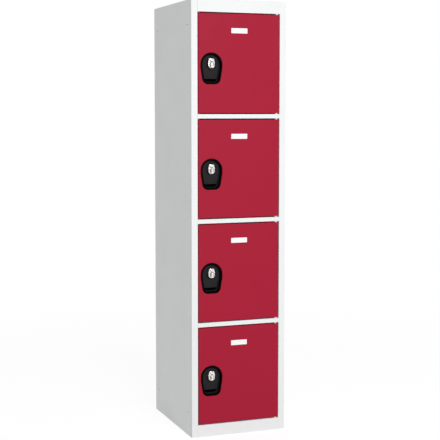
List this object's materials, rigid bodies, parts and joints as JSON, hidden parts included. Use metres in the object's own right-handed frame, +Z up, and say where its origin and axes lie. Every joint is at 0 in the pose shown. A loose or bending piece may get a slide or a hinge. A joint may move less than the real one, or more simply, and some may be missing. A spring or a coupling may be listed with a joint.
{
  "type": "four-tier locker",
  "caption": "Tall narrow sheet-steel locker column of stacked compartments with inset pivot-hung doors, each with a recessed finger pull, padlock hasp latch and card holder.",
  "frame": {"origin": "bottom centre of the whole locker on the floor, the projecting latches included", "axes": "+X to the right seen from the front, the doors face -Y, +Z up"},
  "size_m": [0.415, 0.5106, 1.8],
  "materials": {
    "carcass_paint": "satin powder coat, light grey",
    "door_paint": "satin powder coat, red",
    "housing_plastic": "fine-textured moulding, black",
    "hasp_chrome": "bright plated zinc casting",
    "plated_steel": "zinc-plated steel",
    "bush_nylon": "natural white nylon",
    "buffer_rubber": "black rubber",
    "label_plastic": "white plastic",
    "label_card": "bare white card"
  },
  "bodies": {
    "carcass": {"left_side": "carcass_paint", "right_side": "carcass_paint", "left_stile": "carcass_paint", "right_stile": "carcass_paint", "door_stops": "carcass_paint", "foot_rails": "carcass_paint", "back_panel": "carcass_paint", "top_panel": "carcass_paint", "base_panel": "carcass_paint", "shelf_1": "carcass_paint", "shelf_2": "carcass_paint", "shelf_3": "carcass_paint", "pivot_pins": "plated_steel", "door_buffers": "buffer_rubber"},
    "door_1": {"door_1_panel": "door_paint", "door_1_stiffener": "door_paint", "door_1_pivot_bushes": "bush_nylon", "door_1_lock_housing": "housing_plastic", "door_1_hasp_staple": "hasp_chrome", "door_1_hasp_nut": "plated_steel", "door_1_label_holder": "label_plastic", "door_1_label_card": "label_card"},
    "latch_1": {"latch_1_knob": "hasp_chrome", "latch_1_cam": "plated_steel", "latch_1_cam_nut": "plated_steel"},
    "door_2": {"door_2_panel": "door_paint", "door_2_stiffener": "door_paint", "door_2_pivot_bushes": "bush_nylon", "door_2_lock_housing": "housing_plastic", "door_2_hasp_staple": "hasp_chrome", "door_2_hasp_nut": "plated_steel", "door_2_label_holder": "label_plastic", "door_2_label_card": "label_card"},
    "latch_2": {"latch_2_knob": "hasp_chrome", "latch_2_cam": "plated_steel", "latch_2_cam_nut": "plated_steel"},
    "door_3": {"door_3_panel": "door_paint", "door_3_stiffener": "door_paint", "door_3_pivot_bushes": "bush_nylon", "door_3_lock_housing": "housing_plastic", "door_3_hasp_staple": "hasp_chrome", "door_3_hasp_nut": "plated_steel", "door_3_label_holder": "label_plastic", "door_3_label_card": "label_card"},
    "latch_3": {"latch_3_knob": "hasp_chrome", "latch_3_cam": "plated_steel", "latch_3_cam_nut": "plated_steel"},
    "door_4": {"door_4_panel": "door_paint", "door_4_stiffener": "door_paint", "door_4_pivot_bushes": "bush_nylon", "door_4_lock_housing": "housing_plastic", "door_4_hasp_staple": "hasp_chrome", "door_4_hasp_nut": "plated_steel", "door_4_label_holder": "label_plastic", "door_4_label_card": "label_card"},
    "latch_4": {"latch_4_knob": "hasp_chrome", "latch_4_cam": "plated_steel", "latch_4_cam_nut": "plated_steel"}
  },
  "joints": [
    {"name": "door_1_swing", "type": "hinge", "parent": "carcass", "child": "door_1", "pos_m": [0.1685, -0.23725, 1.54425], "axis": [0, 0, 1], "range_deg": [0, 110]},
    {"name": "door_2_swing", "type": "hinge", "parent": "carcass", "child": "door_2", "pos_m": [0.1685, -0.23725, 1.11475], "axis": [0, 0, 1], "range_deg": [0, 110]},
    {"name": "door_3_swing", "type": "hinge", "parent": "carcass", "child": "door_3", "pos_m": [0.1685, -0.23725, 0.68525], "axis": [0, 0, 1], "range_deg": [0, 110]},
    {"name": "door_4_swing", "type": "hinge", "parent": "carcass", "child": "door_4", "pos_m": [0.1685, -0.23725, 0.25575], "axis": [0, 0, 1], "range_deg": [0, 110]},
    {"name": "latch_1_turn", "type": "hinge", "parent": "door_1", "child": "latch_1", "pos_m": [-0.121, -0.24475, 1.53695], "axis": [0, -1, 0], "range_deg": [0, 90]},
    {"name": "latch_2_turn", "type": "hinge", "parent": "door_2", "child": "latch_2", "pos_m": [-0.121, -0.24475, 1.10745], "axis": [0, -1, 0], "range_deg": [0, 90]},
    {"name": "latch_3_turn", "type": "hinge", "parent": "door_3", "child": "latch_3", "pos_m": [-0.121, -0.24475, 0.67795], "axis": [0, -1, 0], "range_deg": [0, 90]},
    {"name": "latch_4_turn", "type": "hinge", "parent": "door_4", "child": "latch_4", "pos_m": [-0.121, -0.24475, 0.24845], "axis": [0, -1, 0], "range_deg": [0, 90]}
  ]
}
